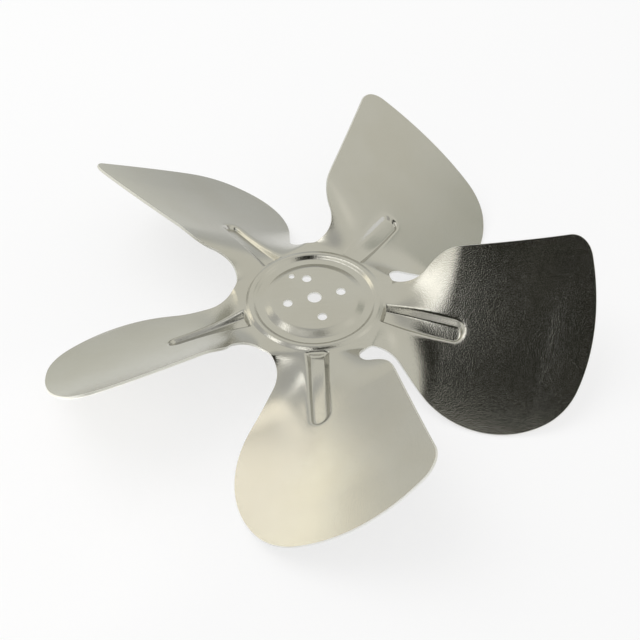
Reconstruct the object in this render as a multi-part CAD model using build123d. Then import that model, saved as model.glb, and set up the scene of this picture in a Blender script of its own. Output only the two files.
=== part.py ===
"""Axial fan impeller: one sheet of aluminium, blanked, then pressed into a hub and twisted blades.

Frame: the origin is on the shaft axis, halfway through the sheet of the flat hub disc. +Z runs along
the shaft, out of the side that the hub disc is raised on, and the rib of the first blade lies along -Y.
A blade is drawn in its own frame, with its rib along +X, and then turned into place.
"""

from build123d import *

import math
import os

# ---- Driving dimensions: millimetres and degrees ----

SHEET = 1.2  # thickness of the aluminium sheet
BLADE_COUNT = 5
TIP_DIAMETER = 254.0
FIRST_BLADE_AZIMUTH = -90.0

# Hub: a flat disc, a round trough about it, a raised bead, and the flange that carries the blades
DISC_RADIUS = 19.6
DISC_SLOPE_WIDTH = 4.0  # from the edge of the disc down to the trough
TROUGH_WIDTH = 3.4  # of its floor
TROUGH_DEPTH = 1.9
BEAD_RISE_WIDTH = 1.9  # from the trough up to the crest of the bead
BEAD_CREST_WIDTH = 0.8
BEAD_DROP = 0.2
BEAD_FALL_WIDTH = 1.9  # from the crest down to the flange
FLANGE_WIDTH = 0.4  # at the rib, from the bead to the line where a blade leaves the flange
FLANGE_DROP = 1.3

# Holes in the hub disc
CENTER_BORE = 6.35
FIXING_CIRCLE = 25.4
FIXING_HOLES = 4
FIXING_BORE = 4.2
FIXING_AZIMUTH = 14.1  # from the rib of the first blade
GAUGE_BORE = 2.6  # small hole that holds the blank in the press
GAUGE_RADIUS = 17.4
GAUGE_AZIMUTH = 215.5  # from the rib of the first blade

# Blade in plan
NOTCH_RADIUS = 10.2  # round cut between two blades
NOTCH_DISTANCE = 6.1  # from the root distance out to the bottom of the notch
BLADE_LEAD = 6.3  # angle from the rib to the line that the lobe and the tip arc are centred on
TIP_ARC_RADIUS = 71.0
LOBE_RUN = 16.41  # straight edge from the notch to the lobe
LOBE_OVERSHOOT = 6.0  # of the lobe's circle past the tip circle, where the tip arc cuts it off
EDGE_ANGLE = 13.6  # of the straight edge to the rib
EDGE_OFFSET = 15.9  # from the axis to the line of the straight edge
TIP_CORNER_RADIUS = 10.5
LOBE_BLEND_RADIUS = 30.0
SHOULDER_RADIUS = 18.0

# Blade in section: a circular arc that turns from the flange's plane to its full pitch
PITCH_ANGLE = 32.2  # at the rib line
CAMBER_RADIUS = 250.0
TWIST_LENGTH = 31.0
TWIST_POWER = 2.3  # above 1, most of the twist comes early
CONE_LENGTH = 75.0
CONE_DROP = 4.9  # of the rib line, over the cone length
CONE_POWER = 1.4
SECTION_STEPS = 10  # sections along the blade
HALF_SECTION_STEPS = 3  # points each side of the rib line in a section

# Rib: a channel pressed down into the blade, with sloping walls, a flat floor and a round outer end
RIB_END_RADIUS = 70.0
RIB_ROOT_HALF_WIDTH = 5.6
RIB_TIP_HALF_WIDTH = 4.5
RIB_FLOOR_HALF_WIDTH = 2.3
RIB_ROOT_DEPTH = 2.9
RIB_TIP_DEPTH = 2.3
RIB_STEPS = 4

# ---- Derived sizes ----

SECTOR = 360.0 / BLADE_COUNT
TIP_RADIUS = TIP_DIAMETER / 2
TROUGH_INNER_RADIUS = DISC_RADIUS + DISC_SLOPE_WIDTH
TROUGH_OUTER_RADIUS = TROUGH_INNER_RADIUS + TROUGH_WIDTH
BEAD_INNER_RADIUS = TROUGH_OUTER_RADIUS + BEAD_RISE_WIDTH
BEAD_OUTER_RADIUS = BEAD_INNER_RADIUS + BEAD_CREST_WIDTH
FLANGE_INNER_RADIUS = BEAD_OUTER_RADIUS + BEAD_FALL_WIDTH
ROOT_DISTANCE = FLANGE_INNER_RADIUS + FLANGE_WIDTH  # from the axis to a blade's straight root line
NOTCH_BOTTOM_RADIUS = ROOT_DISTANCE + NOTCH_DISTANCE
NOTCH_CENTER_RADIUS = NOTCH_BOTTOM_RADIUS + NOTCH_RADIUS
REACH = TIP_RADIUS + SHEET  # past everything
RIB_TIP_CENTER = RIB_END_RADIUS - RIB_TIP_HALF_WIDTH


def polar(radius: float, angle: float) -> Vector:
    """Point in plan at a radius and an angle in degrees."""
    return Vector(radius * math.cos(math.radians(angle)), radius * math.sin(math.radians(angle)))


def angle_to(center: Vector, point: Vector) -> float:
    """Angle, in degrees, of a point seen from a centre."""
    return math.degrees(math.atan2(point.Y - center.Y, point.X - center.X))


def circles_meet(center_a: Vector, radius_a: float, center_b: Vector, radius_b: float, side: int) -> Vector:
    """Crossing of two circles on the left (side 1) or right (side -1) of the line from a to b."""
    span = (center_b - center_a).length
    along = (span**2 + radius_a**2 - radius_b**2) / (2 * span)
    turn = math.degrees(math.acos(along / radius_a))
    return center_a + polar(radius_a, angle_to(center_a, center_b) + side * turn)


def line_meets_circle(angle: float, offset: float, center: Vector, radius: float, side: int) -> Vector:
    """Crossing of a circle with a line, ahead of (side 1) or behind (side -1) the circle's middle."""
    along = polar(1, angle)
    foot = polar(offset, angle + 90)
    middle = foot + along * (center - foot).dot(along)
    half_chord = math.sqrt(radius**2 - (center - middle).length ** 2)
    return middle + along * (side * half_chord)


def arc_between(center: Vector, start: Vector, end: Vector, turn: int) -> Edge:
    """Arc about a centre from start to end, anticlockwise (turn 1) or clockwise (turn -1)."""
    first = angle_to(center, start)
    sweep_angle = (turn * (angle_to(center, end) - first)) % 360
    middle = center + polar((start - center).length, first + turn * sweep_angle / 2)
    return ThreePointArc(start, middle, end)


def lobe_radius() -> float:
    """Radius that gives the lobe its overshoot and leaves its straight run to the low notch."""
    outer = TIP_RADIUS + LOBE_OVERSHOOT
    projected = NOTCH_CENTER_RADIUS * math.cos(math.radians(BLADE_LEAD + SECTOR / 2))
    across = NOTCH_CENTER_RADIUS**2 - NOTCH_RADIUS**2 - LOBE_RUN**2
    return (across + outer**2 - 2 * projected * outer) / (2 * (outer - projected + NOTCH_RADIUS))


def blade_outline() -> Face:
    """Plan of one blade from its root line to its tip, in the blade's own frame."""
    round_of_lobe = lobe_radius()
    notch_low = polar(NOTCH_CENTER_RADIUS, -SECTOR / 2)
    notch_high = polar(NOTCH_CENTER_RADIUS, SECTOR / 2)
    lobe = polar(TIP_RADIUS + LOBE_OVERSHOOT - round_of_lobe, BLADE_LEAD)
    tip = polar(TIP_RADIUS - TIP_ARC_RADIUS, BLADE_LEAD)

    # The line that is tangent to the low notch on one side and to the lobe on the other
    to_lobe = angle_to(notch_low, lobe)
    cross = math.degrees(math.asin((NOTCH_RADIUS + round_of_lobe) / (lobe - notch_low).length))
    leave_notch = notch_low + polar(NOTCH_RADIUS, to_lobe - cross + 90)
    reach_lobe = lobe + polar(round_of_lobe, to_lobe - cross - 90)

    lobe_end = circles_meet(lobe, round_of_lobe, tip, TIP_ARC_RADIUS, 1)
    tip_end = line_meets_circle(EDGE_ANGLE, EDGE_OFFSET, tip, TIP_ARC_RADIUS, 1)
    edge_end = line_meets_circle(EDGE_ANGLE, EDGE_OFFSET, notch_high, NOTCH_RADIUS, 1)
    root_rise = math.sqrt(NOTCH_RADIUS**2 - (notch_high.X - ROOT_DISTANCE) ** 2)
    root_half_width = notch_high.Y - root_rise
    root_low = Vector(ROOT_DISTANCE, -root_half_width)
    root_high = Vector(ROOT_DISTANCE, root_half_width)

    edges = [
        arc_between(notch_low, root_low, leave_notch, -1),
        Line(leave_notch, reach_lobe),
        arc_between(lobe, reach_lobe, lobe_end, 1),
        arc_between(tip, lobe_end, tip_end, 1),
        Line(tip_end, edge_end),
        arc_between(notch_high, edge_end, root_high, -1),
        Line(root_high, root_low),
    ]
    outline = Face(Wire(edges))
    for corner, radius in (
        (edge_end, SHOULDER_RADIUS),
        (tip_end, TIP_CORNER_RADIUS),
        (lobe_end, LOBE_BLEND_RADIUS),
    ):
        nearest = outline.vertices().sort_by_distance(corner)[0]
        outline = outline.fillet_2d(radius, [nearest])
    return outline


def settle(x: float, length: float, power: float) -> float:
    """Share, from 0 at the root line to 1 a length further out, of a change that slows down."""
    left = min(max(1 - (x - ROOT_DISTANCE) / length, 0), 1)
    return 1 - left**power


def twist_share(x: float) -> float:
    """Share of the full pitch that the blade has reached at a distance x along its rib."""
    return settle(x, TWIST_LENGTH, TWIST_POWER)


def rib_line_height(x: float) -> float:
    """Height of the middle of the sheet on the rib line."""
    return -FLANGE_DROP - CONE_DROP * settle(x, CONE_LENGTH, CONE_POWER)


def blade_section(x: float, half_width: float) -> Face:
    """Section of the blade's strip of sheet in the plane at x."""
    pitch = math.radians(PITCH_ANGLE) * twist_share(x)
    curvature = twist_share(x) / CAMBER_RADIUS
    top, bottom = [], []
    for step in range(-HALF_SECTION_STEPS, HALF_SECTION_STEPS + 1):
        along = step / HALF_SECTION_STEPS * half_width
        angle = pitch + curvature * along
        if curvature:
            y = (math.sin(angle) - math.sin(pitch)) / curvature
            z = (math.cos(pitch) - math.cos(angle)) / curvature
        else:
            y, z = along, 0.0
        middle = Vector(x, y, z + rib_line_height(x))
        normal = Vector(0, -math.sin(angle), math.cos(angle))
        top.append(middle + normal * (SHEET / 2))
        bottom.append(middle - normal * (SHEET / 2))
    edges = [
        Spline(*bottom),
        Line(bottom[-1], top[-1]),
        Spline(*reversed(top)),
        Line(top[0], bottom[0]),
    ]
    return Face(Wire(edges))


def blade_strip(half_width: float) -> Solid:
    """Twisted and cambered strip of sheet that the blade is trimmed from."""
    spacing = (REACH - ROOT_DISTANCE) / SECTION_STEPS
    stations = [ROOT_DISTANCE + spacing * step for step in range(SECTION_STEPS + 1)]
    return loft([blade_section(x, half_width) for x in stations])


def rib_size(x: float, at_root: float, at_tip: float) -> float:
    """Size of the rib at x, for one that changes evenly from its root to its round end."""
    return at_root + (at_tip - at_root) * (x - ROOT_DISTANCE) / (RIB_TIP_CENTER - ROOT_DISTANCE)


def rib_plane(x: float) -> Plane:
    """Plane square to the rib at x: its x axis lies in the blade, its y axis is the blade's normal."""
    pitch = math.radians(PITCH_ANGLE) * twist_share(x)
    return Plane(
        origin=(x, 0, rib_line_height(x)),
        x_dir=(0, math.cos(pitch), math.sin(pitch)),
        z_dir=(1, 0, 0),
    )


def rib_half_profile(x: float, offset: float, lid: float) -> list[tuple[float, float]]:
    """Wall and floor of a rib surface at an offset from the middle of the sheet: top corner, then foot."""
    half_width = rib_size(x, RIB_ROOT_HALF_WIDTH, RIB_TIP_HALF_WIDTH)
    depth = rib_size(x, RIB_ROOT_DEPTH, RIB_TIP_DEPTH)
    lean = math.atan2(depth, half_width - RIB_FLOOR_HALF_WIDTH)
    mouth = half_width + offset / math.sin(lean)
    floor = depth + offset
    return [(mouth + lid / math.tan(lean), lid), (mouth - floor / math.tan(lean), -floor)]


def rib_section(x: float, offset: float, lid: float) -> Face:
    """Section of the channel at x, below a flat lid."""
    right = rib_half_profile(x, offset, lid)
    left = [(-across, height) for across, height in reversed(right)]
    return rib_plane(x) * Face(Wire(Polyline(*right, *left, close=True)))


def rib_body(start: float, offset: float, lid: float) -> Solid:
    """Solid below a rib surface: a lofted channel with a round end."""
    steps = [start + (RIB_TIP_CENTER - start) * step / RIB_STEPS for step in range(RIB_STEPS + 1)]
    channel = loft([rib_section(x, offset, lid) for x in steps])
    top, foot = rib_half_profile(RIB_TIP_CENTER, offset, lid)
    half = Face(Wire(Polyline((0, lid), top, foot, (0, foot[1]), close=True)))
    return channel + rib_plane(RIB_TIP_CENTER) * revolve(half, Axis.Y)


def blade() -> Part:
    """One blade from its root line, with its rib, in its own frame."""
    outline = blade_outline()
    widest = max(abs(outline.bounding_box().min.Y), outline.bounding_box().max.Y)
    steepest = math.radians(PITCH_ANGLE) + widest / CAMBER_RADIUS
    prism = extrude(outline, amount=TIP_RADIUS / 2, both=True)
    trimmed = blade_strip(widest / math.cos(steepest)) & prism
    rib_underside = rib_body(ROOT_DISTANCE, SHEET / 2, 0)
    rib_hollow = rib_body(ROOT_DISTANCE + SHEET, -SHEET / 2, SHEET)
    return trimmed + rib_underside - rib_hollow


def hub_plate() -> Part:
    """Pressed plate of the hub, out to the blades' root lines and the bottoms of the notches."""
    middle_line = Polyline(
        (0, 0),
        (DISC_RADIUS, 0),
        (TROUGH_INNER_RADIUS, -TROUGH_DEPTH),
        (TROUGH_OUTER_RADIUS, -TROUGH_DEPTH),
        (BEAD_INNER_RADIUS, -BEAD_DROP),
        (BEAD_OUTER_RADIUS, -BEAD_DROP),
        (FLANGE_INNER_RADIUS, -FLANGE_DROP),
        (NOTCH_CENTER_RADIUS, -FLANGE_DROP),
    )
    section = Plane.XZ * trace(middle_line, line_width=SHEET)
    plate = revolve(section, Axis.Z)
    root_polygon = RegularPolygon(ROOT_DISTANCE, BLADE_COUNT, major_radius=False, rotation=SECTOR / 2)
    plate &= extrude(root_polygon, amount=TIP_RADIUS, both=True)
    notch = Cylinder(NOTCH_RADIUS, TIP_RADIUS)
    for index in range(BLADE_COUNT):
        center = polar(NOTCH_CENTER_RADIUS, SECTOR * (index + 0.5))
        plate -= Pos(center) * notch
    return plate


def hub_holes() -> list[Part]:
    """Cutters for the shaft bore, the fixing holes and the gauge hole."""
    length = 4 * SHEET
    holes = [Cylinder(CENTER_BORE / 2, length)]
    for index in range(FIXING_HOLES):
        center = polar(FIXING_CIRCLE / 2, FIXING_AZIMUTH + index * 360 / FIXING_HOLES)
        holes.append(Pos(center) * Cylinder(FIXING_BORE / 2, length))
    holes.append(Pos(polar(GAUGE_RADIUS, GAUGE_AZIMUTH)) * Cylinder(GAUGE_BORE / 2, length))
    return holes


def impeller() -> Part:
    """The whole pressed sheet."""
    one_blade = blade()
    blades = [Rot(0, 0, SECTOR * index) * one_blade for index in range(BLADE_COUNT)]
    body = hub_plate().fuse(*blades)
    for hole in hub_holes():
        body -= hole
    return Rot(0, 0, FIRST_BLADE_AZIMUTH) * body


if __name__ == "__main__":
    os.makedirs("parts", exist_ok=True)
    part = impeller()
    print("solids", len(part.solids()), "valid", part.is_valid, "volume", round(part.volume, 1))
    print("box", part.bounding_box())
    export_step(part, "parts/impeller.step")
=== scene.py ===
"""Axial fan impeller: the looks of one pressed sheet of rolled aluminium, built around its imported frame.

The sheet is drawn as a height over its plan, in millimetres: a hub with a flat disc, a round trough and a
bead, then blades that twist and camber away from the flange, each with a pressed channel for stiffness.
One mesh carries both faces of the sheet and its sheared rim.
"""

from __future__ import annotations

import logging
import math
import sys
from dataclasses import dataclass, field
from enum import Enum
from functools import cached_property

import bpy
import numpy as np
from mathutils import Matrix, Vector, geometry

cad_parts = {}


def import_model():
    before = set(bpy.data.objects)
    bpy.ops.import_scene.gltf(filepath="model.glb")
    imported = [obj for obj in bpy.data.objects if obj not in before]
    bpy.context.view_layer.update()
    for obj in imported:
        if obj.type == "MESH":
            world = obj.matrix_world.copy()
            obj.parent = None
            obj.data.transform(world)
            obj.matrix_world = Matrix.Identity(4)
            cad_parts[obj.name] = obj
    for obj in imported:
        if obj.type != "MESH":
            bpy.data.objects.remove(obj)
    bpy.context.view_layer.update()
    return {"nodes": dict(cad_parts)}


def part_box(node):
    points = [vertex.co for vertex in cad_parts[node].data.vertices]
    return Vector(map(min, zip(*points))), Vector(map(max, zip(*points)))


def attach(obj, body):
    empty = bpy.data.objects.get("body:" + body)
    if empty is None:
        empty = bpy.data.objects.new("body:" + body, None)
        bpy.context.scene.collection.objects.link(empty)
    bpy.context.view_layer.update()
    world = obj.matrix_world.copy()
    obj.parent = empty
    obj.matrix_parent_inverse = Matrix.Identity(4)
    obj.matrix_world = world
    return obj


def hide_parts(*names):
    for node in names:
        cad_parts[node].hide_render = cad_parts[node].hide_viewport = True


LOG = logging.getLogger("impeller")
MILLIMETRE = 0.001
PIECE = "pressed_impeller"
CAD_NODE = "impeller"
BODY = "root"

WITHIN_LOOPS = 2  # kind of Delaunay result: the triangles that the loops enclose
MERGE_DISTANCE = 1e-6  # millimetres
MIX_FIRST, MIX_SECOND, MIX_RESULT = 6, 7, 2  # the colour sockets of a Mix node
FLOAT, VECTOR, COLOUR = "NodeSocketFloat", "NodeSocketVector", "NodeSocketColor"
METAL_IOR = 1.45
STREAK_DARK, STREAK_LIGHT = 0.985, 1.01  # what the rolling lines do to the colour
WHITE = (1.0, 1.0, 1.0)

Array = np.ndarray
Colour = tuple[float, float, float]
Socket, Node, NodeTree = bpy.types.NodeSocket, bpy.types.Node, bpy.types.NodeTree
Material, Object = bpy.types.Material, bpy.types.Object
Source = Socket | float | Vector | tuple[float, ...]


class Surface(Enum):
    """The kinds of surface on the pressed sheet, by material index."""

    ROLLED = 0
    SHEARED = 1


def polar(radius: float, degrees: float) -> Array:
    """Point in plan at a radius and an angle in degrees."""
    turn = math.radians(degrees)
    return np.array((radius * math.cos(turn), radius * math.sin(turn)))


def bearing(center: Array, point: Array) -> float:
    """Angle, in degrees, of a point seen from a centre."""
    return math.degrees(math.atan2(point[1] - center[1], point[0] - center[0]))


def facing_point(center: Array, radius: float, point: Array) -> Array:
    """Place on a circle that faces another point."""
    return center + polar(radius, bearing(center, point))


def circles_meet(center_a: Array, radius_a: float, center_b: Array, radius_b: float) -> Array:
    """Crossing of two circles on the left of the line between their centres.

    Args:
        center_a: Centre of the first circle.
        radius_a: Its radius.
        center_b: Centre of the second circle.
        radius_b: Its radius.

    Returns:
        The crossing point.
    """
    span = float(np.linalg.norm(center_b - center_a))
    along = (span**2 + radius_a**2 - radius_b**2) / (2 * span)
    turn = math.degrees(math.acos(along / radius_a))
    return center_a + polar(radius_a, bearing(center_a, center_b) + turn)


def line_meets_circle(degrees: float, offset: float, center: Array, radius: float) -> Array:
    """Crossing, furthest along a line, of that line with a circle.

    Args:
        degrees: Direction of the line.
        offset: Distance of the line from the origin, to the left of its direction.
        center: Centre of the circle.
        radius: Its radius.

    Returns:
        The crossing point.
    """
    along = polar(1, degrees)
    foot = polar(offset, degrees + 90)
    middle = foot + along * float(np.dot(center - foot, along))
    return middle + along * math.sqrt(radius**2 - float(np.sum((center - middle) ** 2)))


def arc(center: Array, start: Array, end: Array, turn: int, spacing: float) -> Array:
    """Points on an arc, without its last point.

    Args:
        center: Centre of the arc.
        start: First point.
        end: Last point.
        turn: 1 for anticlockwise, -1 for clockwise.
        spacing: Longest step between points.

    Returns:
        Array of points, one a row.
    """
    first = bearing(center, start)
    sweep = (turn * (bearing(center, end) - first)) % 360
    radius = float(np.linalg.norm(start - center))
    steps = max(2, math.ceil(math.radians(sweep) * radius / spacing))
    return np.array([center + polar(radius, first + turn * sweep * i / steps) for i in range(steps)])


def run(start: Array, end: Array, spacing: float) -> Array:
    """Points on a straight run, without its last point."""
    steps = max(1, math.ceil(float(np.linalg.norm(end - start)) / spacing))
    return np.array([start + (end - start) * i / steps for i in range(steps)])


def turned(points: Array, degrees: float) -> Array:
    """Points in plan turned about the axis."""
    c, s = math.cos(math.radians(degrees)), math.sin(math.radians(degrees))
    return points @ np.array(((c, s), (-s, c)))


def ease(value: Array, low: float, high: float) -> Array:
    """Smooth step from 0 at low to 1 at high."""
    t = np.clip((value - low) / (high - low), 0.0, 1.0)
    return t * t * (3 - 2 * t)


def soft_ramp(value: Array, soft: float) -> Array:
    """Value where it is positive and 0 elsewhere, with a soft bend between."""
    return (value + np.sqrt(value * value + soft**2)) / 2


def unit_rows(rows: Array) -> Array:
    """Rows scaled to a length of 1."""
    return rows / np.linalg.norm(rows, axis=1, keepdims=True)


def grid_points(x: Array, y: Array) -> Array:
    """Points of a grid in plan, one a row."""
    return np.stack(np.meshgrid(x, y), -1).reshape(-1, 2)


def inside(points: Array, loop: Array) -> Array:
    """Mask of the points that lie inside a closed loop.

    Args:
        points: Points to test, one a row.
        loop: Corners of the loop in order.

    Returns:
        Boolean array, one value a point.
    """
    result = np.zeros(len(points), bool)
    x, y = points[:, 0], points[:, 1]
    for a, b in zip(loop, np.roll(loop, -1, axis=0)):
        if a[1] == b[1]:
            continue
        crosses = (a[1] > y) != (b[1] > y)
        result ^= crosses & (x < (b[0] - a[0]) * (y - a[1]) / (b[1] - a[1]) + a[0])
    return result


def opaque(colour: Colour) -> tuple[float, ...]:
    """Colour with its alpha, as sockets take it."""
    return (*colour, 1.0)


class Graph:
    """Short ways to place and join nodes in one tree.

    Inputs are given by name or number, each with the socket to link to it or the constant to set.
    """

    def __init__(self, tree: NodeTree) -> None:
        """Works on a tree that already exists."""
        self.tree = tree

    def find(self, kind: str) -> Node:
        """First node of a type."""
        return next(node for node in self.tree.nodes if node.type == kind)

    def feed(self, node: Node, inputs: dict[str | int, Source]) -> None:
        """Feeds inputs of a node.

        Args:
            node: The node.
            inputs: What goes into each input.
        """
        for key, source in inputs.items():
            if isinstance(source, Socket):
                self.tree.links.new(source, node.inputs[key])
            else:
                node.inputs[key].default_value = source

    def add(self, kind: str, inputs: dict[str | int, Source] | None = None, **settings: object) -> Node:
        """Places a node.

        Args:
            kind: Type of the node.
            inputs: What goes into its inputs.
            **settings: Its properties by name.

        Returns:
            The node.
        """
        node = self.tree.nodes.new(kind)
        for name, value in settings.items():
            setattr(node, name, value)
        self.feed(node, inputs or {})
        return node

    def own_place(self) -> Socket:
        """Place in the piece's own coordinates."""
        return self.add("ShaderNodeTexCoord").outputs["Object"]

    def math(self, operation: str, a: Source, b: Source = 0.0, clamp: bool = False) -> Socket:
        """Result of a maths node, kept between 0 and 1 where it is clamped."""
        return self.add("ShaderNodeMath", {0: a, 1: b}, operation=operation, use_clamp=clamp).outputs[0]

    def vector(self, operation: str, a: Source, b: Source | None = None, output: str = "Vector") -> Socket:
        """Result of a vector maths node.

        Args:
            operation: What it does.
            a: First operand.
            b: Second operand, which is a number where the node scales.
            output: Name of the output to read.

        Returns:
            The result.
        """
        inputs = {0: a}
        if b is not None:
            inputs["Scale" if operation == "SCALE" else 1] = b
        return self.add("ShaderNodeVectorMath", inputs, operation=operation).outputs[output]

    def spread(self, value: Source, low: float, high: float, to_low: float, to_high: float) -> Socket:
        """Value changed smoothly from the range of low to high to that of to_low to to_high."""
        inputs = dict(enumerate((value, low, high, to_low, to_high)))
        return self.add("ShaderNodeMapRange", inputs, interpolation_type="SMOOTHSTEP").outputs[0]

    def noise(self, place: Source, scale: Source, detail: float) -> Socket:
        """Noise from 0 to 1 at a place; the scale says how fine it is."""
        inputs = {"Vector": place, "Scale": scale, "Detail": detail}
        return self.add("ShaderNodeTexNoise", inputs, noise_dimensions="3D").outputs[0]

    def mix(self, share: Source, a: Source, b: Source, blend: str = "MIX") -> Socket:
        """Mix of two colours, with the share of the second."""
        inputs = {0: share, MIX_FIRST: a, MIX_SECOND: b}
        return self.add("ShaderNodeMix", inputs, data_type="RGBA", blend_type=blend).outputs[MIX_RESULT]

    def glow(self, colour: Source) -> Socket:
        """Emission shader at strength 1."""
        return self.add("ShaderNodeEmission", {"Color": colour}).outputs[0]

    def cover(self, share: Source, under: Socket, over: Socket) -> Socket:
        """Mix of two shaders, with the share of the one on top."""
        return self.add("ShaderNodeMixShader", {0: share, 1: under, 2: over}).outputs[0]

    def finish(self, shader: Socket) -> None:
        """Makes a shader the surface of the material."""
        self.feed(self.find("OUTPUT_MATERIAL"), {"Surface": shader})


@dataclass(frozen=True)
class GroupSocket:
    """Name, type and starting value of one socket of a node group."""

    name: str
    kind: str
    value: float | None = None


def new_group(name: str, takes: list[GroupSocket], gives: list[GroupSocket]) -> tuple[Graph, Node, Node]:
    """Makes an empty shader node group with its sockets.

    Args:
        name: Name of the group.
        takes: Input sockets.
        gives: Output sockets.

    Returns:
        The graph, the group's input node and its output node.
    """
    tree = bpy.data.node_groups.new(name, "ShaderNodeTree")
    for way, sockets in (("INPUT", takes), ("OUTPUT", gives)):
        for item in sockets:
            socket = tree.interface.new_socket(item.name, in_out=way, socket_type=item.kind)
            if item.value is not None:
                socket.default_value = item.value
    graph = Graph(tree)
    return graph, graph.add("NodeGroupInput"), graph.add("NodeGroupOutput")


def new_object(name: str, data: bpy.types.ID) -> Object:
    """Makes an object and links it to the scene.

    Args:
        name: Name of the object.
        data: Its mesh, light or camera.

    Returns:
        The object.
    """
    item = bpy.data.objects.new(name, data)
    bpy.context.scene.collection.objects.link(item)
    return item


def new_material(name: str) -> tuple[Material, Graph]:
    """Makes a material with its nodes on.

    Args:
        name: Name of the material.

    Returns:
        The material and the graph of its nodes.
    """
    material = bpy.data.materials.new(name)
    material.use_nodes = True
    return material, Graph(material.node_tree)


def rolling_grain_group() -> NodeTree:
    """Makes the grain of rolled sheet: long fine lines along x, and a fine even speckle.

    Returns:
        Group with Lines, Speckle and Height outputs.
    """
    low, high = 0.3, 0.7  # where most values of a noise lie
    line_share = 0.12  # of the lines in the height; the speckle has the rest
    graph, into, out = new_group(
        "rolling_grain",
        [
            GroupSocket("Place", VECTOR),
            GroupSocket("Line Width", FLOAT, 0.00025),
            GroupSocket("Line Length", FLOAT, 0.03),
            GroupSocket("Speckle Size", FLOAT, 0.0006),
        ],
        [GroupSocket("Lines", FLOAT), GroupSocket("Speckle", FLOAT), GroupSocket("Height", FLOAT)],
    )
    sizes = ("Line Length", "Line Width", "Line Width")
    stretch = {axis: graph.math("DIVIDE", 1.0, into.outputs[size]) for axis, size in enumerate(sizes)}
    stretched = graph.add("ShaderNodeCombineXYZ", stretch).outputs[0]
    place = graph.vector("MULTIPLY", into.outputs["Place"], stretched)
    lines = graph.spread(graph.noise(place, 1.0, 2.0), low, high, 0.0, 1.0)
    fineness = graph.math("DIVIDE", 1.0, into.outputs["Speckle Size"])
    speckle = graph.spread(graph.noise(into.outputs["Place"], fineness, 1.0), low, high, 0.0, 1.0)
    lined = graph.math("MULTIPLY", lines, line_share)
    speckled = graph.math("MULTIPLY", speckle, 1 - line_share)
    height = graph.math("ADD", lined, speckled)
    graph.feed(out, {"Lines": lines, "Speckle": speckle, "Height": height})
    return graph.tree


def handling_haze_group() -> NodeTree:
    """Makes the broad soft patches that pressing, oil and handling leave on bare metal.

    Returns:
        Group with a Haze mask and a Tint colour.
    """
    low, high = 0.35, 0.7  # noise where a patch starts and where it is whole
    clean, handled = opaque(WHITE), opaque((0.95, 0.94, 0.91))
    graph, into, out = new_group(
        "handling_haze",
        [GroupSocket("Place", VECTOR), GroupSocket("Patch Size", FLOAT, 0.03)],
        [GroupSocket("Haze", FLOAT), GroupSocket("Tint", COLOUR)],
    )
    fineness = graph.math("DIVIDE", 1.0, into.outputs["Patch Size"])
    haze = graph.spread(graph.noise(into.outputs["Place"], fineness, 3.0), low, high, 0.0, 1.0)
    graph.feed(out, {"Haze": haze, "Tint": graph.mix(haze, clean, handled)})
    return graph.tree


@dataclass(frozen=True)
class BareMetal:
    """Finish of bare aluminium, with the values that tell one surface of it from another.

    The grain's sizes and its bump are in metres, and the tint is the share of the haze's colour.
    """

    name: str
    colour: Colour
    roughness: float
    haze_roughness: float
    speckle_roughness: float
    line_width: float
    line_length: float
    speckle: float
    bump: float
    tint: float

    def build(self, grain: NodeTree, haze: NodeTree) -> Material:
        """Makes the material of the shared effects and one shader.

        Args:
            grain: Group of the rolling grain.
            haze: Group of the handling haze.

        Returns:
            The material.
        """
        material, graph = new_material(self.name)
        sizes = {"Line Width": self.line_width, "Line Length": self.line_length, "Speckle Size": self.speckle}
        lines = graph.add("ShaderNodeGroup", {"Place": graph.own_place(), **sizes}, node_tree=grain)
        patches = graph.add("ShaderNodeGroup", {"Place": graph.own_place()}, node_tree=haze)

        base = opaque(self.colour)
        tinted = graph.mix(self.tint, base, graph.mix(1.0, base, patches.outputs["Tint"], "MULTIPLY"))
        streak = graph.spread(lines.outputs["Lines"], 0.0, 1.0, STREAK_DARK, STREAK_LIGHT)
        hazed = graph.math("MULTIPLY", patches.outputs["Haze"], self.haze_roughness)
        speckled = graph.math("MULTIPLY", lines.outputs["Speckle"], self.speckle_roughness)
        relief = {"Strength": 1.0, "Distance": self.bump, "Height": lines.outputs["Height"]}
        shader = {
            "Metallic": 1.0,
            "IOR": METAL_IOR,
            "Base Color": graph.mix(1.0, tinted, streak, "MULTIPLY"),
            "Roughness": graph.math("ADD", graph.math("ADD", hazed, self.roughness), speckled),
            "Normal": graph.add("ShaderNodeBump", relief).outputs["Normal"],
        }
        graph.feed(graph.find("BSDF_PRINCIPLED"), shader)
        return material


ROLLED_FACE = BareMetal(
    name="rolled_aluminium",
    colour=(0.58, 0.573, 0.54),
    roughness=0.1,
    haze_roughness=0.015,
    speckle_roughness=0.05,
    line_width=0.00018,
    line_length=0.012,
    speckle=0.0005,
    bump=0.000015,
    tint=0.6,
)
SHEARED_RIM = BareMetal(
    name="sheared_rim",
    colour=(0.86, 0.86, 0.84),
    roughness=0.4,
    haze_roughness=0.1,
    speckle_roughness=0.05,
    line_width=0.0002,
    line_length=0.0006,
    speckle=0.0002,
    bump=0.00003,
    tint=0.3,
)
FINISHES = {Surface.ROLLED: ROLLED_FACE, Surface.SHEARED: SHEARED_RIM}


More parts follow.
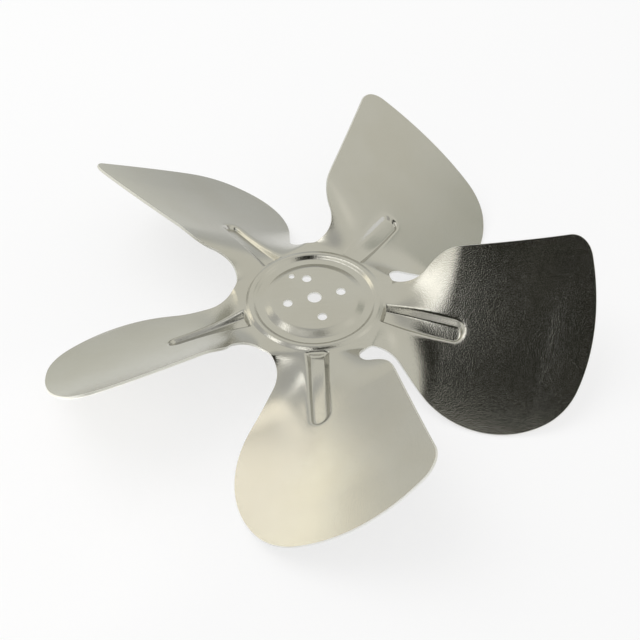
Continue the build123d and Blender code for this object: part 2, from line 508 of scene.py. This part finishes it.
@dataclass
class HubForm:
    """Pressed hub: flat disc, round trough, bead and flange, as heights of the middle of the sheet."""

    disc_radius: float = 19.6
    trough_inner: float = 23.6
    trough_outer: float = 27.0
    trough_depth: float = 1.9
    bead_inner: float = 28.9
    bead_outer: float = 29.7
    bead_drop: float = 0.2
    flange_inner: float = 31.6
    flange_drop: float = 1.3
    bend: float = 0.42
    center_bore: float = 6.35
    fixing_circle: float = 25.4
    fixing_holes: int = 4
    fixing_bore: float = 4.2
    fixing_azimuth: float = 14.1
    gauge_bore: float = 2.6
    gauge_radius: float = 17.4
    gauge_azimuth: float = 215.5

    def height(self, radius: Array) -> Array:
        """Height of the sheet, its bends rounded.

        Args:
            radius: Distance of each point from the axis.

        Returns:
            Height of the middle of the sheet over that of the disc.
        """
        corners = (
            (self.disc_radius, 0.0),
            (self.trough_inner, -self.trough_depth),
            (self.trough_outer, -self.trough_depth),
            (self.bead_inner, -self.bead_drop),
            (self.bead_outer, -self.bead_drop),
            (self.flange_inner, -self.flange_drop),
        )
        slopes = [(z1 - z0) / (r1 - r0) for (r0, z0), (r1, z1) in zip(corners, corners[1:])]
        total = np.zeros_like(radius)
        for (corner, _), before, after in zip(corners, [0.0, *slopes], [*slopes, 0.0]):
            total += (after - before) * soft_ramp(radius - corner, self.bend)
        return total

    def holes(self) -> list[tuple[Array, float]]:
        """Holes of the disc, before the impeller is turned into place.

        Returns:
            Centre and radius of each hole.
        """
        result = [(np.zeros(2), self.center_bore / 2)]
        for index in range(self.fixing_holes):
            angle = self.fixing_azimuth + index * 360 / self.fixing_holes
            result.append((polar(self.fixing_circle / 2, angle), self.fixing_bore / 2))
        result.append((polar(self.gauge_radius, self.gauge_azimuth), self.gauge_bore / 2))
        return result


@dataclass
class RibForm:
    """Channel pressed down into a blade: two steep walls, a flat floor and a round outer end."""

    start: float = 32.3
    end: float = 70.0
    root_half_width: float = 5.6
    tip_half_width: float = 4.5
    floor_half_width: float = 3.2
    root_depth: float = 2.9
    tip_depth: float = 2.3
    soft: float = 0.4
    mouth: float = 0.7

    def depth(self, x: Array, y: Array) -> Array:
        """How far the sheet is pressed down at a place on the blade.

        Args:
            x: Distance along the rib from the axis.
            y: Distance across it.

        Returns:
            Depth below the blade's own surface.
        """
        center = self.end - self.tip_half_width
        along = np.clip((x - self.start) / (center - self.start), 0.0, 1.0)
        half = self.root_half_width + (self.tip_half_width - self.root_half_width) * along
        full = self.root_depth + (self.tip_depth - self.root_depth) * along
        wall = half - self.floor_half_width
        past = np.maximum(x - center, 0.0)
        edge = half - np.sqrt(y * y + past * past)
        pressed = (soft_ramp(edge, self.soft) - soft_ramp(edge - wall, self.soft)) * full / wall
        return pressed * ease(x, self.start - self.mouth, self.start + self.mouth)


@dataclass
class BladeForm:
    """One blade: its plan, its twist, camber and fall, in a frame with the rib along x.

    Its tips stay 0.2 mm inside the tip circle, so that the rounded rims stay in the node's box.
    """

    count: int = 5
    tip_radius: float = 126.8
    root: float = 32.0
    notch_radius: float = 10.2
    notch_bottom: float = 38.1
    lead: float = 6.3
    tip_arc: float = 71.0
    lobe_radius: float = 47.2
    lobe_inset: float = 41.2
    edge_angle: float = 13.6
    edge_offset: float = 15.9
    tip_corner: float = 10.5
    lobe_blend: float = 30.0
    shoulder: float = 18.0
    pitch: float = 32.2
    camber_radius: float = 250.0
    twist_length: float = 31.0
    twist_power: float = 2.3
    cone_length: float = 75.0
    cone_drop: float = 4.9
    cone_power: float = 1.4
    root_soft: float = 1.3
    least_twist: float = 1e-4

    @property
    def sector(self) -> float:
        """Angle from one blade to the next."""
        return 360.0 / self.count

    def outline(self, spacing: float) -> Array:
        """Edge of one blade from the notch before it to the notch after it.

        Args:
            spacing: Longest step between points.

        Returns:
            Array of points, one a row, anticlockwise.
        """
        reach = self.notch_bottom + self.notch_radius
        before, after = polar(reach, -self.sector / 2), polar(reach, self.sector / 2)
        lobe = polar(self.tip_radius - self.lobe_inset, self.lead)
        tip = polar(self.tip_radius - self.tip_arc, self.lead)

        to_lobe = bearing(before, lobe)
        apart = float(np.linalg.norm(lobe - before))
        cross = math.degrees(math.asin((self.notch_radius + self.lobe_radius) / apart))
        leave = before + polar(self.notch_radius, to_lobe - cross + 90)
        arrive = lobe + polar(self.lobe_radius, to_lobe - cross - 90)

        blend = circles_meet(lobe, self.lobe_radius - self.lobe_blend, tip, self.tip_arc - self.lobe_blend)
        corner = line_meets_circle(
            self.edge_angle, self.edge_offset - self.tip_corner, tip, self.tip_arc - self.tip_corner
        )
        shoulder = line_meets_circle(
            self.edge_angle, self.edge_offset - self.shoulder, after, self.notch_radius + self.shoulder
        )
        to_edge = polar(1, self.edge_angle + 90)
        bottom_before = polar(self.notch_bottom, -self.sector / 2)
        bottom_after = polar(self.notch_bottom, self.sector / 2)
        fine = spacing / 2
        blend_start = facing_point(lobe, self.lobe_radius, blend)
        blend_end = facing_point(tip, self.tip_arc, blend)
        corner_start = facing_point(tip, self.tip_arc, corner)
        corner_end = corner + to_edge * self.tip_corner
        shoulder_start = shoulder + to_edge * self.shoulder
        shoulder_end = facing_point(after, self.notch_radius, shoulder)
        return np.vstack(
            (
                arc(before, bottom_before, leave, -1, fine),
                run(leave, arrive, spacing),
                arc(lobe, arrive, blend_start, 1, spacing),
                arc(blend, blend_start, blend_end, 1, spacing),
                arc(tip, blend_end, corner_start, 1, spacing),
                arc(corner, corner_start, corner_end, 1, fine),
                run(corner_end, shoulder_start, spacing),
                arc(shoulder, shoulder_start, shoulder_end, 1, fine),
                arc(after, shoulder_end, bottom_after, -1, fine),
            )
        )

    def settle(self, x: Array, length: float, power: float) -> Array:
        """Share of a change that is whole at a length from the root; a power over 1 brings more early."""
        eased = soft_ramp(x - self.root, self.root_soft)
        return 1 - np.clip(1 - eased / length, 0.0, 1.0) ** power

    def lift(self, x: Array, y: Array) -> Array:
        """Height of the blade over the flange at a place in its own frame.

        Args:
            x: Distance along the rib from the axis.
            y: Distance across it.

        Returns:
            Height of the middle of the sheet.
        """
        twist = self.settle(x, self.twist_length, self.twist_power)
        pitch = math.radians(self.pitch) * twist
        curve = np.maximum(twist, self.least_twist) / self.camber_radius
        angle = np.arcsin(np.clip(y * curve + np.sin(pitch), -1.0, 1.0))
        rise = (np.cos(pitch) - np.cos(angle)) / curve
        return rise - self.cone_drop * self.settle(x, self.cone_length, self.cone_power)


@dataclass
class SheetPlan:
    """Where the mesh has its points: loops on the rims, and a grid that is finer where the sheet bends."""

    hub: HubForm
    blade: BladeForm
    rib: RibForm
    first_azimuth: float
    rim_spacing: float = 0.9
    grid: float = 1.35
    grid_overlap: float = 2.0
    rib_along: float = 0.8
    rib_across: float = 0.42
    rib_margin: float = 1.6
    rib_start_margins: int = 3
    ring_step: float = 0.42
    ring_inner: float = 17.6
    ring_outer: float = 32.5
    ring_points: int = 288
    disc_grid: float = 1.8
    hole_points: int = 48
    rim_clear_share: float = 0.75
    rim_clear_least: float = 0.5

    def on_blades(self, points: Array) -> list[Array]:
        """Copies of one blade's points, turned into place for each blade."""
        azimuths = [self.first_azimuth + index * self.blade.sector for index in range(self.blade.count)]
        return [turned(points, azimuth) for azimuth in azimuths]

    def rim(self) -> Array:
        """Outer loop of the whole impeller, anticlockwise, in the row's frame."""
        return np.vstack(self.on_blades(self.blade.outline(self.rim_spacing)))

    def hole_loops(self) -> list[Array]:
        """Loops of the holes in the hub disc.

        Returns:
            Points of each loop in the row's frame, clockwise.
        """
        loops = []
        for center, radius in self.hub.holes():
            angles = [-360 * i / self.hole_points for i in range(self.hole_points)]
            loop = np.array([center + polar(radius, a) for a in angles])
            loops.append(turned(loop, self.first_azimuth))
        return loops

    def blade_points(self) -> Array:
        """Grid over one blade, finer over its rib and finest where the rib starts and ends.

        Returns:
            Points in the blade's own frame, one a row.
        """
        blade, rib, margin = self.blade, self.rib, self.rib_margin
        start_reach = blade.root + self.rib_start_margins * margin
        x = np.arange(blade.root - self.grid_overlap, blade.tip_radius + self.grid_overlap, self.grid)
        y = np.arange(-blade.tip_radius / 2, blade.tip_radius / 2, self.grid)
        coarse = grid_points(x, y)
        on_rib = (np.abs(coarse[:, 1]) < rib.root_half_width + margin) & (coarse[:, 0] < rib.end + margin)
        x = np.arange(start_reach, rib.end + margin, self.rib_along)
        near_start = np.arange(blade.root - margin, start_reach, self.rib_across)
        near_end = np.arange(rib.end - rib.tip_half_width - margin, rib.end + margin, self.rib_across)
        x = np.concatenate((near_start, x[x < near_end[0] - self.rib_across], near_end))
        y = np.arange(-rib.root_half_width - margin, rib.root_half_width + margin, self.rib_across)
        fine = grid_points(x, y)
        points = np.vstack((coarse[~on_rib], fine))
        return points[np.hypot(points[:, 0], points[:, 1]) > self.ring_outer + self.ring_step]

    def hub_points(self) -> Array:
        """Rings over the bends of the hub, and a plain grid on the flat disc.

        Returns:
            Points in the row's frame, one a row.
        """
        rings = []
        angles = np.radians(np.arange(self.ring_points) * 360.0 / self.ring_points)
        for radius in np.arange(self.ring_inner, self.ring_outer, self.ring_step):
            rings.append(np.stack((radius * np.cos(angles), radius * np.sin(angles)), -1))
        span = np.arange(-self.ring_inner, self.ring_inner, self.disc_grid)
        disc = grid_points(span, span)
        disc = disc[np.hypot(disc[:, 0], disc[:, 1]) < self.ring_inner - self.disc_grid / 2]
        return np.vstack(rings + [disc])

    def interior(self, rim: Array, holes: list[Array]) -> Array:
        """Points inside the rim and clear of every loop.

        Args:
            rim: Outer loop.
            holes: Loops of the holes.

        Returns:
            Array of points, one a row.
        """
        points = np.vstack([self.hub_points()] + self.on_blades(self.blade_points()))
        points = points[inside(points, rim)]
        for loop in holes:
            points = points[~inside(points, loop)]
        clear = np.ones(len(points), bool)
        for loop in [rim] + holes:
            step = float(np.linalg.norm(loop[1] - loop[0]))
            least = max(self.rim_clear_share * step, self.rim_clear_least)
            for corner in loop:
                clear &= np.hypot(points[:, 0] - corner[0], points[:, 1] - corner[1]) > least
        return points[clear]


@dataclass
class PressedSheet:
    """The impeller's one sheet: its forms together, its mesh and its finishes."""

    hub: HubForm = field(default_factory=HubForm)
    blade: BladeForm = field(default_factory=BladeForm)
    rib: RibForm = field(default_factory=RibForm)
    thickness: float = 1.2
    rim_round: float = 0.16
    first_azimuth: float = -90.0
    probe: float = 0.02
    gap_spacing: float = 0.5
    gap_steps: int = 400
    pull_angle: float = 8.0
    pull_fade: float = 3.0
    flange_blend: float = 1.6

    @cached_property
    def gap(self) -> tuple[Array, Array]:
        """Line along the middle of the gap between the first blade and the next.

        Returns:
            Radii of its points, and their angles from the first blade's rib in degrees.
        """
        rim = self.blade.outline(self.gap_spacing)
        radius = np.hypot(rim[:, 0], rim[:, 1])
        azimuth = np.degrees(np.arctan2(rim[:, 1], rim[:, 0]))
        outermost = int(np.argmax(radius))
        radii = np.linspace(radius.min(), radius.max(), self.gap_steps)
        low = np.interp(radii, radius[:outermost], azimuth[:outermost])
        high = np.interp(radii, radius[outermost:][::-1], azimuth[outermost:][::-1])
        return radii, (low + high + self.blade.sector) / 2

    def blade_share(self, azimuth: Array, radius: Array) -> tuple[Array, Array, Array]:
        """Blade that each point belongs to, its share of the height there, and the side of its neighbour.

        Args:
            azimuth: Angle of each point, in degrees, from the first blade's rib.
            radius: Distance of each point from the axis.

        Returns:
            Index of the blade, its share from 0.5 on the middle of a notch to 1, and 1 or -1.
        """
        sector = self.blade.sector
        border = np.interp(radius, *self.gap)
        index = np.ceil((azimuth - border) / sector)
        after = border + index * sector - azimuth
        before = sector - after
        near = 1 - ease(np.minimum(after, before), 0.0, self.pull_angle)
        near *= 1 - ease(radius, self.blade.notch_bottom, self.blade.notch_bottom + self.pull_fade)
        return index, 1 - 0.5 * near, np.where(after < before, 1.0, -1.0)

    def own_lift(self, x: Array, y: Array, index: Array) -> Array:
        """Height that a blade gives to each point, ribs included.

        Args:
            x: Place along the first blade's rib.
            y: Place across it.
            index: Index of the blade.

        Returns:
            Height over the flange.
        """
        turn = np.radians(index * self.blade.sector)
        along = x * np.cos(turn) + y * np.sin(turn)
        across = -x * np.sin(turn) + y * np.cos(turn)
        return self.blade.lift(along, across) - self.rib.depth(along, across)

    def height(self, points: Array) -> Array:
        """Height of the middle of the sheet over points in plan.

        Args:
            points: Points in the row's frame, one a row.

        Returns:
            One height a point.
        """
        local = turned(points, -self.first_azimuth)
        x, y = local[:, 0], local[:, 1]
        radius = np.hypot(x, y)
        azimuth = np.degrees(np.arctan2(y, x))
        index, share, side = self.blade_share(azimuth, radius)
        lift = share * self.own_lift(x, y, index) + (1 - share) * self.own_lift(x, y, index + side)
        whole = self.hub.flange_inner + self.flange_blend
        return self.hub.height(radius) + lift * ease(radius, self.hub.bead_outer, whole)

    def normals(self, points: Array) -> Array:
        """Upward normals of the sheet over points in plan.

        Args:
            points: Points in the row's frame, one a row.

        Returns:
            One unit normal a row.
        """
        step_x, step_y = np.array((self.probe, 0.0)), np.array((0.0, self.probe))
        slope_x = (self.height(points + step_x) - self.height(points - step_x)) / (2 * self.probe)
        slope_y = (self.height(points + step_y) - self.height(points - step_y)) / (2 * self.probe)
        return unit_rows(np.stack((-slope_x, -slope_y, np.ones(len(points))), -1))

    @staticmethod
    def loop_outward(loop: Array) -> Array:
        """Directions in plan, out of the metal.

        Args:
            loop: Corners of the rim anticlockwise, or of a hole clockwise.

        Returns:
            One unit direction a corner.
        """
        ahead = unit_rows(np.roll(loop, -1, axis=0) - loop)
        behind = unit_rows(loop - np.roll(loop, 1, axis=0))
        along = unit_rows(ahead + behind)
        return np.stack((along[:, 1], -along[:, 0]), -1)

    def triangulate(self, loops: list[Array], inner: Array) -> tuple[Array, Array]:
        """Triangles over the plan.

        Args:
            loops: Rim first, then holes.
            inner: Points inside.

        Returns:
            Points, the loops' own first and in their order, and triangles as rows of three indices.
        """
        points = np.vstack(loops + [inner])
        edges, first = [], 0
        for loop in loops:
            count = len(loop)
            edges += [(first + i, first + (i + 1) % count) for i in range(count)]
            first += count
        flat = [Vector(p) for p in points]
        made = geometry.delaunay_2d_cdt(flat, edges, [], WITHIN_LOOPS, MERGE_DISTANCE, True)
        places, faces, origin = made[0], made[2], made[3]
        if len(places) != len(points):
            LOG.warning("the plan gained or lost points: %d for %d", len(places), len(points))
        source = np.array([ids[0] for ids in origin])
        triangles = source[np.array(faces)]
        middles = points[triangles].mean(axis=1)
        solid = inside(middles, loops[0])
        for loop in loops[1:]:
            solid &= ~inside(middles, loop)
        triangles = triangles[solid]
        a, b, c = (points[triangles[:, i]] for i in range(3))
        area = (b[:, 0] - a[:, 0]) * (c[:, 1] - a[:, 1]) - (b[:, 1] - a[:, 1]) * (c[:, 0] - a[:, 0])
        triangles[area < 0] = triangles[area < 0][:, ::-1]
        return points, triangles

    def build(self) -> Object:
        """Makes the mesh and its object.

        Returns:
            The piece, with its rolled faces and sheared rims told apart.
        """
        plan = SheetPlan(self.hub, self.blade, self.rib, self.first_azimuth)
        rims = [plan.rim()] + plan.hole_loops()
        outward = [self.loop_outward(loop) for loop in rims]
        loops = [loop - out * self.rim_round for loop, out in zip(rims, outward)]
        points, triangles = self.triangulate(loops, plan.interior(loops[0], loops[1:]))
        count = len(points)
        half = self.thickness / 2
        normal = self.normals(points)
        middle = np.column_stack((points, self.height(points)))

        vertices = [middle + normal * half, middle - normal * half]
        shading = [normal, -normal]
        faces = [triangles, triangles[:, ::-1] + count]
        kinds = [np.full(2 * len(triangles), Surface.ROLLED.value)]
        quads: list[Array] = []
        base, first = 2 * count, 0
        for loop, out in zip(rims, outward):
            size = len(loop)
            up = normal[first : first + size]
            side = np.column_stack((out, np.zeros(size)))
            side = unit_rows(side - up * np.sum(side * up, axis=1, keepdims=True))
            core = middle[first : first + size] + side * self.rim_round
            vertices += [core + up * (half - self.rim_round), core - up * (half - self.rim_round)]
            shading += [side, side]
            here, ahead = np.arange(size), (np.arange(size) + 1) % size
            rings = (first, base, base + size, first + count)
            for upper, lower in zip(rings, rings[1:]):
                quads.append(np.column_stack((here + upper, here + lower, ahead + lower, ahead + upper)))
                kinds.append(np.full(size, Surface.SHEARED.value))
            base += 2 * size
            first += size

        mesh = bpy.data.meshes.new(PIECE)
        corners = [tuple(f) for part in faces for f in part.tolist()]
        corners += [tuple(f) for part in quads for f in part.tolist()]
        mesh.from_pydata((np.vstack(vertices) * MILLIMETRE).tolist(), [], corners)
        mesh.polygons.foreach_set("use_smooth", np.ones(len(corners), bool))
        mesh.polygons.foreach_set("material_index", np.concatenate(kinds).astype(np.int32))
        mesh.normals_split_custom_set_from_vertices(np.vstack(shading).tolist())
        mesh.update()
        LOG.info("%s: %d faces", PIECE, len(corners))
        return new_object(PIECE, mesh)

    @staticmethod
    def dress(piece: Object) -> None:
        """Gives the piece its finishes, in the order of their material indices.

        Args:
            piece: The piece.
        """
        grain, haze = rolling_grain_group(), handling_haze_group()
        for surface in Surface:
            finish = FINISHES[surface]
            piece.data.materials.append(finish.build(grain, haze))
            LOG.info("finish: %s", finish.name)


def toward(right: float, back: float) -> Vector:
    """Works out a direction of the studio.

    Args:
        right: Degrees from overhead to the right.
        back: Degrees from overhead to the back.

    Returns:
        Unit direction.
    """
    down = math.radians(math.hypot(right, back))
    turn = math.atan2(back, right)
    return Vector((math.sin(down) * math.cos(turn), math.sin(down) * math.sin(turn), math.cos(down)))


def level_square(reach: float, level: float = 0.0) -> list[tuple[float, float, float]]:
    """Corners of a level square about the axis."""
    return [(-reach, -reach, level), (reach, -reach, level), (reach, reach, level), (-reach, reach, level)]


def stage_piece(
    name: str,
    vertices: list[tuple[float, float, float]],
    faces: list[tuple[int, ...]],
    material: Material,
) -> Object:
    """Makes a piece of the studio, which isn't part of the impeller.

    Args:
        name: Name of the piece.
        vertices: Its corners, in metres.
        faces: Its faces, as indices of corners.
        material: Its material.

    Returns:
        The piece's object.
    """
    mesh = bpy.data.meshes.new(name)
    mesh.from_pydata(vertices, [], faces)
    mesh.materials.append(material)
    item = new_object(name, mesh)
    return item


def seen_in_gloss_only(item: Object) -> None:
    """Hides an object from every ray but those of gloss."""
    for way in ("camera", "diffuse", "transmission", "volume_scatter", "shadow"):
        setattr(item, f"visible_{way}", False)


@dataclass(frozen=True)
class Panel:
    """Soft light or dark strip of the studio shell, between two places given as for toward().

    Its colour is whole up to one distance from its line and gone at the other, both in degrees.
    """

    start: tuple[float, float]
    end: tuple[float, float]
    full: float
    gone: float
    colour: Colour

    def share(self, graph: Graph, facing: Socket) -> Socket:
        """How much of the panel's colour a direction has.

        Args:
            graph: Graph of the shell's material.
            facing: Unit direction of the place on the shell.

        Returns:
            1 on the panel, 0 away from it.
        """
        first, line = toward(*self.start), toward(*self.end) - toward(*self.start)
        away = graph.vector("SUBTRACT", facing, first)
        if line.length > 0:
            along = graph.vector("DOT_PRODUCT", away, line / line.length_squared, "Value")
            nearest = graph.vector("SCALE", line, graph.math("MULTIPLY", along, 1.0, clamp=True))
            away = graph.vector("SUBTRACT", away, nearest)
        distance = graph.vector("LENGTH", away, output="Value")
        return graph.spread(distance, math.radians(self.full), math.radians(self.gone), 1.0, 0.0)


@dataclass(frozen=True)
class Card:
    """Round card that only reflections see: its place over the floor, in metres, and its glow.

    It is whole to half its radius, and fades to nothing from there to its edge.
    """

    name: str
    place: tuple[float, float, float]
    radius: float
    colour: Colour

    def paint(self) -> Material:
        """Makes the glow that fades to nothing at the card's edge.

        Returns:
            The material.
        """
        material, graph = new_material(self.name)
        away = graph.vector("LENGTH", graph.own_place(), output="Value")
        clear = graph.add("ShaderNodeBsdfTransparent").outputs[0]
        share = graph.spread(away, self.radius / 2, self.radius, 1.0, 0.0)
        graph.finish(graph.cover(share, clear, graph.glow(opaque(self.colour))))
        return material

    def build(self, level: float) -> Object:
        """Makes the card.

        Args:
            level: Height of the floor, in metres.

        Returns:
            The card's object.
        """
        item = stage_piece(self.name, level_square(self.radius), [(0, 1, 2, 3)], self.paint())
        item.location = (self.place[0], self.place[1], level + self.place[2])
        seen_in_gloss_only(item)
        return item


LAMP_WHITE: Colour = (1.9, 1.88, 1.78)
CREAM: Colour = (0.95, 0.93, 0.84)
BRIGHT_CREAM: Colour = (1.5, 1.42, 1.18)
OVERHEAD_GREY: Colour = (0.54, 0.54, 0.51)
RIGHT_GREY: Colour = (0.5, 0.51, 0.45)
BACK_GREY: Colour = (0.6, 0.605, 0.57)
LEFT_GREY: Colour = (0.7, 0.7, 0.62)
FLAG_GREY: Colour = (0.57, 0.57, 0.54)
FILL_WHITE: Colour = (2.55, 2.45, 2.25)
SHADE: Colour = (0.02, 0.02, 0.016)


@dataclass
class Studio:
    """Pale floor, white backdrop, a soft lamp, and a shell of light and dark panels for the metal to mirror.

    Lengths are in metres. A later panel covers an earlier one.
    """

    floor_size: float = 24.0
    floor_colour: Colour = (0.9, 0.9, 0.9)
    floor_roughness: float = 0.9
    floor_glow: float = 0.7
    ambient: float = 0.7
    backdrop: float = 0.97
    lamp_place: tuple[float, float, float] = (-0.9, 0.5, 1.7)
    lamp_size: float = 1.6
    lamp_power: float = 14.0
    shell_radius: float = 0.6
    shell_rings: int = 24
    shell_slices: int = 48
    shell_colour: Colour = (0.8, 0.79, 0.71)
    panels: tuple[Panel, ...] = (
        Panel((-2.0, 4.0), (-2.0, 4.0), 4.0, 24.0, OVERHEAD_GREY),
        Panel((38.0, 4.0), (38.0, 4.0), 3.0, 10.0, CREAM),
        Panel((44.0, 30.0), (44.0, 30.0), 3.0, 9.0, RIGHT_GREY),
        Panel((-50.0, 26.0), (-50.0, 26.0), 6.0, 13.0, BRIGHT_CREAM),
        Panel((-46.0, 4.0), (-46.0, 4.0), 3.0, 10.0, CREAM),
        Panel((14.0, 90.0), (-58.0, 96.0), 14.0, 30.0, BACK_GREY),
        Panel((6.0, -22.5), (-18.0, -49.0), 10.0, 15.5, SHADE),
        Panel((-36.0, 9.0), (-25.0, -9.0), 3.0, 8.0, LAMP_WHITE),
        Panel((-25.0, -9.0), (-8.5, -21.5), 1.0, 8.5, LAMP_WHITE),
    )
    cards: tuple[Card, ...] = (
        Card("fill_card", (-0.125, -0.095, 0.001), 0.1, FILL_WHITE),
        Card("back_card", (-0.14, 0.44, 0.001), 0.4, BACK_GREY),
        Card("left_card", (-0.24, 0.13, 0.002), 0.27, LEFT_GREY),
        Card("grey_flag", (-0.052, -0.04, 0.085), 0.036, FLAG_GREY),
        Card("left_flag", (-0.08, 0.006, 0.085), 0.036, FLAG_GREY),
    )

    def backdrop_rays(self, graph: Graph) -> Socket:
        """Marks the rays that see the backdrop: those of the camera, of gloss and of clear glass.

        Args:
            graph: Graph of the world or of the floor's material.

        Returns:
            1 for those rays, 0 for the rest.
        """
        rays = graph.add("ShaderNodeLightPath")
        seen = graph.math("ADD", rays.outputs["Is Camera Ray"], rays.outputs["Is Glossy Ray"])
        return graph.math("ADD", seen, rays.outputs["Is Transmission Ray"], clamp=True)

    def world(self) -> None:
        """Makes a white backdrop for the rays that see it, and even light for the rest."""
        world = bpy.data.worlds.new("studio")
        bpy.context.scene.world = world
        world.use_nodes = True
        graph = Graph(world.node_tree)
        level = graph.spread(self.backdrop_rays(graph), 0.0, 1.0, self.ambient, self.backdrop)
        graph.feed(graph.find("BACKGROUND"), {"Color": opaque(WHITE), "Strength": level})

    def floor(self, level: float) -> Object:
        """Makes a pale floor that keeps the shadow and is nearly white to the rays that see the backdrop.

        Args:
            level: Height of the floor, in metres.

        Returns:
            The floor's object.
        """
        material, graph = new_material("floor_paper")
        shader = graph.find("BSDF_PRINCIPLED")
        graph.feed(shader, {"Base Color": opaque(self.floor_colour), "Roughness": self.floor_roughness})
        share = graph.math("MULTIPLY", self.backdrop_rays(graph), self.floor_glow)
        graph.finish(graph.cover(share, shader.outputs[0], graph.glow(opaque(WHITE))))
        return stage_piece("floor", level_square(self.floor_size / 2, level), [(0, 1, 2, 3)], material)

    def shell_material(self) -> Material:
        """Makes the paint of the shell: an even grey, with soft light and dark panels by direction.

        Returns:
            The material.
        """
        material, graph = new_material("studio_shell")
        facing = graph.vector("NORMALIZE", graph.own_place())
        colour: Source = opaque(self.shell_colour)
        for panel in self.panels:
            colour = graph.mix(panel.share(graph, facing), colour, opaque(panel.colour))
        graph.finish(graph.glow(colour))
        return material

    def shell(self, level: float) -> Object:
        """Makes the half sphere over the impeller, on the floor, that only reflections see.

        Args:
            level: Height of the floor, in metres.

        Returns:
            The shell's object.
        """
        radius, slices = self.shell_radius, self.shell_slices
        vertices = []
        for ring in range(self.shell_rings + 1):
            rise = math.pi / 2 * ring / self.shell_rings
            for cut in range(slices):
                turn = 2 * math.pi * cut / slices
                flat = radius * math.cos(rise)
                vertices.append((flat * math.cos(turn), flat * math.sin(turn), radius * math.sin(rise)))
        faces = []
        for low in range(0, self.shell_rings * slices, slices):
            for cut in range(slices):
                after = (cut + 1) % slices
                faces.append((low + cut, low + after, low + slices + after, low + slices + cut))
        item = stage_piece("studio_shell", vertices, faces, self.shell_material())
        item.location = (0.0, 0.0, level)
        seen_in_gloss_only(item)
        return item

    def lamp(self) -> Object:
        """Makes the large soft lamp above and behind, which shapes the floor's shadow.

        Returns:
            The lamp's object.
        """
        light = bpy.data.lights.new("softbox", "AREA")
        light.shape = "SQUARE"
        light.size = self.lamp_size
        light.energy = self.lamp_power
        item = new_object("softbox", light)
        item.location = self.lamp_place
        item.rotation_euler = Vector(item.location).to_track_quat("Z", "Y").to_euler()
        item.visible_glossy = False
        return item


@dataclass(frozen=True)
class Viewpoint:
    """Camera of the main view, in the row's frame: metres and degrees, its lens in millimetres."""

    place: tuple[float, float, float] = (-0.009364, -0.383481, 0.396259)
    down: float = 46.98
    roll: float = -1.02
    heading: float = -1.75
    lens: float = 67.506
    sensor: float = 36.0
    nearest: float = 0.01

    def build(self) -> Object:
        """Makes the camera and gives it to the scene.

        Returns:
            The camera's object.
        """
        data = bpy.data.cameras.new("viewpoint")
        data.lens = self.lens
        data.sensor_width = self.sensor
        data.clip_start = self.nearest
        camera = new_object("viewpoint", data)
        tilt = math.radians(self.down)
        right = Vector((1, 0, 0))
        up = Vector((0, math.sin(tilt), math.cos(tilt)))
        back = Vector((0, -math.cos(tilt), math.sin(tilt)))
        c, s = math.cos(math.radians(self.roll)), math.sin(math.radians(self.roll))
        axes = Matrix((right * c + up * s, up * c - right * s, back)).transposed()
        turn = Matrix.Rotation(math.radians(self.heading), 4, "Z")
        camera.matrix_world = Matrix.Translation(self.place) @ turn @ axes.to_4x4()
        bpy.context.scene.camera = camera
        return camera


def main() -> None:
    """Builds the impeller's visible piece, the studio and the camera, in that order."""
    logging.basicConfig(level=logging.INFO, format="%(name)s: %(message)s", stream=sys.stdout)
    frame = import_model()
    LOG.info("frame: %s", sorted(frame["nodes"]))
    bpy.context.scene.view_settings.view_transform = "Standard"

    sheet = PressedSheet()
    piece = sheet.build()
    sheet.dress(piece)
    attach(piece, BODY)
    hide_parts(CAD_NODE)

    studio = Studio()
    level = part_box(CAD_NODE)[0].z
    studio.world()
    stage = [studio.floor(level), studio.shell(level)] + [card.build(level) for card in studio.cards]
    for item in (*stage, studio.lamp(), Viewpoint().build()):
        LOG.info("studio: %s", item.name)


if __name__ == "__main__":
    main()
